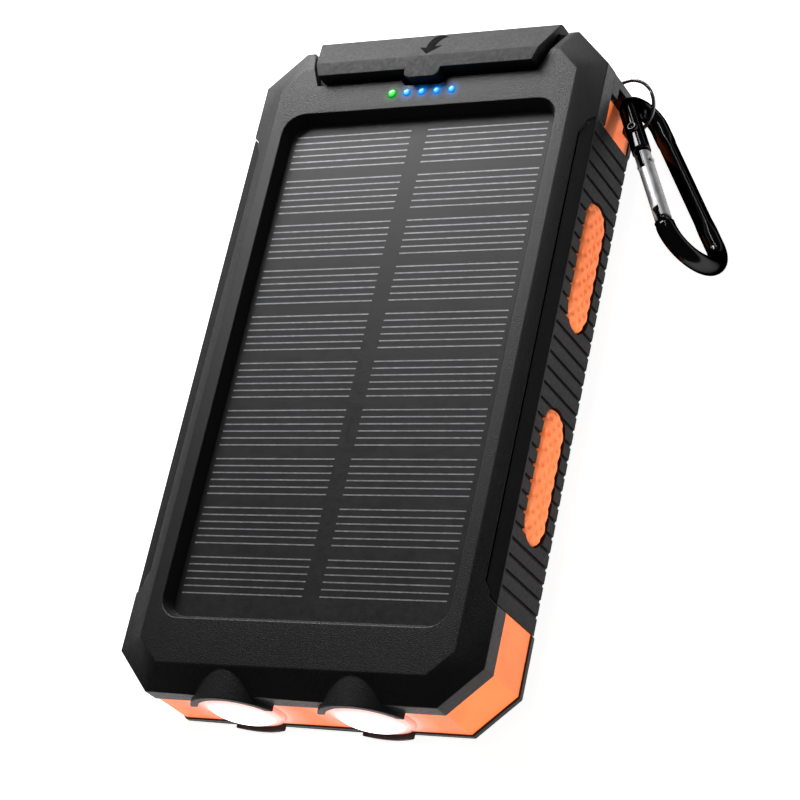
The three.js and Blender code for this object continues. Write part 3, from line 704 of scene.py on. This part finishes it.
def superellipse(half_u, half_v, power, sides=28):
    out = []
    for k in range(sides):
        angle = 2 * math.pi * k / sides
        c, s = math.cos(angle), math.sin(angle)
        out.append((half_u * math.copysign(abs(c) ** (2 / power), c),
                    half_v * math.copysign(abs(s) ** (2 / power), s)))
    return out


def carabiner():
    """A round bar bent to a loop, pressed flatter and slimmer along its spine."""
    points = bar_path()
    path = []
    for i, point in enumerate(points):
        ahead, behind = points[min(i + 1, len(points) - 1)], points[max(i - 1, 0)]
        along = (ahead - behind).normalized()
        path.append((point, Vector((along.y, -along.x, 0)), Vector((0, 0, 1))))
    start, end = SPINE_START + 3, SPINE_START + 36
    bar = CLIP["bar"]

    def section(i):
        if i in (0, len(points) - 1):
            return superellipse(bar * 0.8, bar * 0.8, 2)
        rise = min(max((i - start) / 2.0, 0), 1) * min(max((end - i) / 6.0, 0), 1)
        rise = rise * rise * (3 - 2 * rise)
        return superellipse(bar - 0.45 * rise, bar - 0.3 * rise, 2 + 1.6 * rise)

    bm = sweep(path, section)
    bmesh.ops.transform(bm, matrix=TO_WORLD @ Matrix.Scale(MM, 4), verts=bm.verts)
    out = Vector((-0.08, -0.9, 0.42)).normalized()
    profile = [(1.2, 0), (1.2, 0.5), (1.05, 0.7), (0.45, 0.75), (0.35, 0.45), (0, 0.45)]
    bm_knob = lathe(profile, 32, (on_gate(6.0) + out * (bar - 0.25)) * MM, out)
    bmesh.ops.transform(bm_knob, matrix=TO_WORLD, verts=bm_knob.verts)
    even_normals(piece("carabiner_knob", mesh_of(bm_knob, "knob"), CARABINER, "carabiner"))
    even_normals(piece("carabiner_bar", mesh_of(bm, "bar"), CARABINER, "carabiner",
                       ["carabiner_body"]))

    def block(name, s0, s1, w, n, round_mm):
        bm = bmesh.new()
        middle = on_gate((s0 + s1) / 2)
        place = Matrix.Translation(middle) @ Matrix.Rotation(-LEAN, 4, "Z")
        bmesh.ops.create_cube(bm, size=1, matrix=place @ Matrix.Diagonal((s1 - s0, 2 * w, 2 * n, 1)))
        bmesh.ops.bevel(bm, geom=list(bm.edges), offset=round_mm, segments=3, profile=0.5, affect="EDGES")
        bmesh.ops.transform(bm, matrix=TO_WORLD @ Matrix.Scale(MM, 4), verts=bm.verts)
        return piece(name, mesh_of(bm, name), CARABINER, "carabiner")

    g = GATE_LINE
    even_normals(block("carabiner_hinge_tab", g["bar_end"] - 0.5, g["pivot"] + 1.1, 1.2, g["tab"] / 2, 0.25))
    even_normals(block("carabiner_nose", g["nose"] - 2.8, g["nose"] + 0.6, 1.1, g["tab"] / 2, 0.2))
    even_normals(block("carabiner_nose_head", g["nose"] - 0.2, g["nose"] + 0.9, 1.5, 1.5, 0.45))


carabiner()


def boolean(thing, cutter, operation):
    modifier = thing.modifiers.new("cut", "BOOLEAN")
    modifier.operation = operation
    modifier.solver = "EXACT"
    modifier.object = cutter
    bpy.context.view_layer.update()
    done = bpy.data.meshes.new_from_object(thing.evaluated_get(bpy.context.evaluated_depsgraph_get()))
    thing.modifiers.remove(modifier)
    old = thing.data
    thing.data = done
    bpy.data.meshes.remove(old)
    bpy.data.objects.remove(cutter)


def scratch(bm, name):
    thing = bpy.data.objects.new(name, mesh_of(bm, name))
    bpy.context.scene.collection.objects.link(thing)
    return thing


def gate():
    """A tube slotted at both ends: over the hinge tab at one, over the nose at the other."""
    g = GATE_LINE
    r = g["radius"]
    length = g["to"] - g["from"]
    profile = [(0, 0), (r - 0.18, 0), (r - 0.05, 0.05), (r, 0.18), (r, length * 0.25), (r, length * 0.5),
               (r, length * 0.75), (r, length - 0.18), (r - 0.05, length - 0.05), (r - 0.18, length),
               (0, length)]
    direction = (on_gate(1) - on_gate(0)).normalized()
    bm = lathe(profile, 48, on_gate(g["from"]) * MM, direction)
    rod = scratch(bm, "gate_rod")
    for s0, s1 in ((g["from"] - 1, g["pivot"] + 2), (g["nose"] - 3.3, g["to"] + 1)):
        bm = bmesh.new()
        place = Matrix.Translation(on_gate((s0 + s1) / 2) * MM) @ Matrix.Rotation(-LEAN, 4, "Z")
        size = Matrix.Diagonal(((s1 - s0) * MM, 6 * MM, g["slot"] * MM, 1))
        bmesh.ops.create_cube(bm, size=1, matrix=place @ size)
        boolean(rod, scratch(bm, "slot"), "DIFFERENCE")
    bm = bmesh.new()
    bm.from_mesh(rod.data)
    bpy.data.objects.remove(rod)
    sharp = [e for e in bm.edges if len(e.link_faces) == 2 and e.calc_face_angle(0) > math.radians(50)]
    bmesh.ops.bevel(bm, geom=sharp, offset=0.08 * MM, segments=2, profile=0.5, affect="EDGES",
                    clamp_overlap=True)
    bmesh.ops.transform(bm, matrix=TO_WORLD, verts=bm.verts)
    even_normals(piece("gate_tube", mesh_of(bm, "gate"), GATE, "gate", ["carabiner_gate"]))

    half = r + 0.15
    shank = g["rivet"]
    profile = [(0, -half - 0.05), (0.45, -half), (0.78, -half + 0.12), (0.8, -half + 0.3),
               (shank, -half + 0.35), (shank, half - 0.35), (0.8, half - 0.3), (0.78, half - 0.12),
               (0.45, half), (0, half + 0.05)]
    bm = lathe(profile, 28, on_gate(g["pivot"]) * MM, Vector((0, 0, 1)))
    bmesh.ops.transform(bm, matrix=TO_WORLD, verts=bm.verts)
    piece("gate_rivet_pin", mesh_of(bm, "rivet"), GATE, "gate", ["gate_rivet"])


gate()


# ---- Flap: pull mark and living hinge -----------------------------------------------------
def top_of(node):
    """A function that gives the node's highest surface point at (x, y)."""
    mesh = NODES[node].data
    tree = BVHTree.FromPolygons([v.co for v in mesh.vertices], [p.vertices for p in mesh.polygons])
    return lambda x, y: tree.ray_cast(Vector((x, y, 1)), Vector((0, 0, -1)))[0]


def pull_mark():
    """A curved arrow that shows which way the flap lifts."""
    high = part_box("port_cover")[1]
    surface = top_of("port_cover")
    y_tip = high.y - 6.7 * MM
    head = [(-0.9, 2.1), (-2.4, 2.3), (0.0, 0.0), (2.5, 2.5), (1.0, 2.3)]
    right = [(1.0, 3.4), (1.3, 4.3), (1.9, 5.1), (2.7, 5.6)]
    left = [(0.9, 6.2), (-0.2, 5.7), (-0.8, 4.8), (-1.0, 3.6)]
    outline = head + right + left
    bm = bmesh.new()
    top = []
    for x, y in outline:
        under = surface(x * MM, y_tip + y * MM)
        top.append(bm.verts.new(under + Vector((0, 0.03 * MM, 0.06 * MM))))
    face = bm.faces.new(top)
    sides = bmesh.ops.extrude_face_region(bm, geom=[face])
    moved = [v for v in sides["geom"] if isinstance(v, bmesh.types.BMVert)]
    bmesh.ops.translate(bm, verts=moved, vec=(0, 0, -0.1 * MM))
    bmesh.ops.triangulate(bm, faces=bm.faces)
    piece("flap_pull_mark", mesh_of(bm, "mark", smooth=False), INK, "flap")


pull_mark()


def flap_hinge():
    """A thin moulded strip that runs from the case to the flap's foot, narrower in the middle."""
    low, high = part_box("port_cover_strap")
    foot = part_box("port_cover")[0].z
    rows, thick = 18, 0.9 * MM
    z0, z1 = low.z, foot + 0.6 * MM
    bm = bmesh.new()
    lines = []
    for i in range(rows + 1):
        share = i / rows
        z = z0 + (z1 - z0) * share
        neck = 0.3 * MM * math.sin(math.pi * share) ** 2
        y_in, y_out = low.y + neck, low.y + thick + 0.25 * MM - neck
        lines.append([bm.verts.new((x, y, z)) for x, y in
                      ((low.x, y_in), (high.x, y_in), (high.x, y_out), (low.x, y_out))])
    for a, b in zip(lines, lines[1:]):
        for k in range(4):
            n = (k + 1) % 4
            bm.faces.new([a[k], a[n], b[n], b[k]])
    bm.faces.new(lines[0])
    bm.faces.new(lines[-1])
    mesh = mesh_of(bm, "hinge_strip", smooth=False)
    mesh.materials.append(FLAP)
    strip = bpy.data.objects.new("flap_hinge_strip", mesh)
    bpy.context.scene.collection.objects.link(strip)
    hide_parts("port_cover_strap")
    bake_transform(strip)


flap_hinge()


# ---- CAD nodes that stay ------------------------------------------------------------------
for name, node in NODES.items():
    node.data.materials.clear()
    node.data.materials.append(LOOKS[SLOT_OF[name]])


# ---- Floor, light and camera ----------------------------------------------------------------
def floor():
    bm = bmesh.new()
    bmesh.ops.create_grid(bm, x_segments=1, y_segments=1, size=6)
    shader = Shader("floor_white", roughness=0.9)
    shader.mottle((0.9, 0.9, 0.9), (0.92, 0.92, 0.92), size_mm=400).glow((1, 1, 1), 0.93)
    thing = bpy.data.objects.new("floor", mesh_of(bm, "floor", smooth=False))
    thing.data.materials.append(shader.material)
    bpy.context.scene.collection.objects.link(thing)


def area(name, place, target, size, power, only=()):
    """A soft rectangular light; with only, it lights just those pieces."""
    light = bpy.data.lights.new(name, "AREA")
    light.shape = "RECTANGLE"
    light.size, light.size_y = size
    light.energy = power
    thing = bpy.data.objects.new(name, light)
    thing.location = place
    thing.rotation_euler = (Vector(target) - Vector(place)).to_track_quat("-Z", "Y").to_euler()
    bpy.context.scene.collection.objects.link(thing)
    if only:
        receivers = bpy.data.collections.new(f"{name}_receivers")
        for lit in only:
            receivers.objects.link(lit)
        thing.light_linking.receiver_collection = receivers


def studio():
    world = bpy.data.worlds.new("studio")
    bpy.context.scene.world = world
    world.use_nodes = True
    background = world.node_tree.nodes["Background"]
    background.inputs["Color"].default_value = (1, 1, 1, 1)
    background.inputs["Strength"].default_value = 0.06
    area("key", (-0.16, 0.27, 0.17), (0, 0.04, 0.02), (0.16, 0.12), 1.5)
    area("streak", (0.0, 0.41, 0.33), (0.055, 0.04, 0.01), (0.012, 0.3), 0.3)
    orange = [bpy.data.objects["middle_frame_shell"]]
    orange += [bpy.data.objects[f"{node}_insert"] for node in NODES if node.startswith("grip_pad")]
    area("low_side", (0.5, -0.05, 0.012), (0.04, -0.02, 0.012), (0.4, 0.016), 1.3, only=orange)
    area("low_front", (0.1, -0.5, 0.012), (0.0, -0.07, 0.012), (0.4, 0.016), 1.3, only=orange)
    bpy.context.scene.view_settings.view_transform = "Standard"


FOCAL_MM = 116.9
CAMERA_PLACE = (0.25204, -0.19802, 0.40914)


def camera():
    data = bpy.data.cameras.new("camera")
    data.lens = FOCAL_MM
    thing = bpy.data.objects.new("camera", data)
    right = Vector((0.87255, 0.20482, -0.44351))
    up = Vector((0.00712, 0.90244, 0.43076))
    back = Vector((0.48847, -0.37902, 0.78597))
    turn = Matrix((right, up, back)).transposed().to_4x4()
    thing.matrix_world = Matrix.Translation(CAMERA_PLACE) @ turn
    bpy.context.scene.collection.objects.link(thing)
    bpy.context.scene.camera = thing


floor()
studio()
camera()
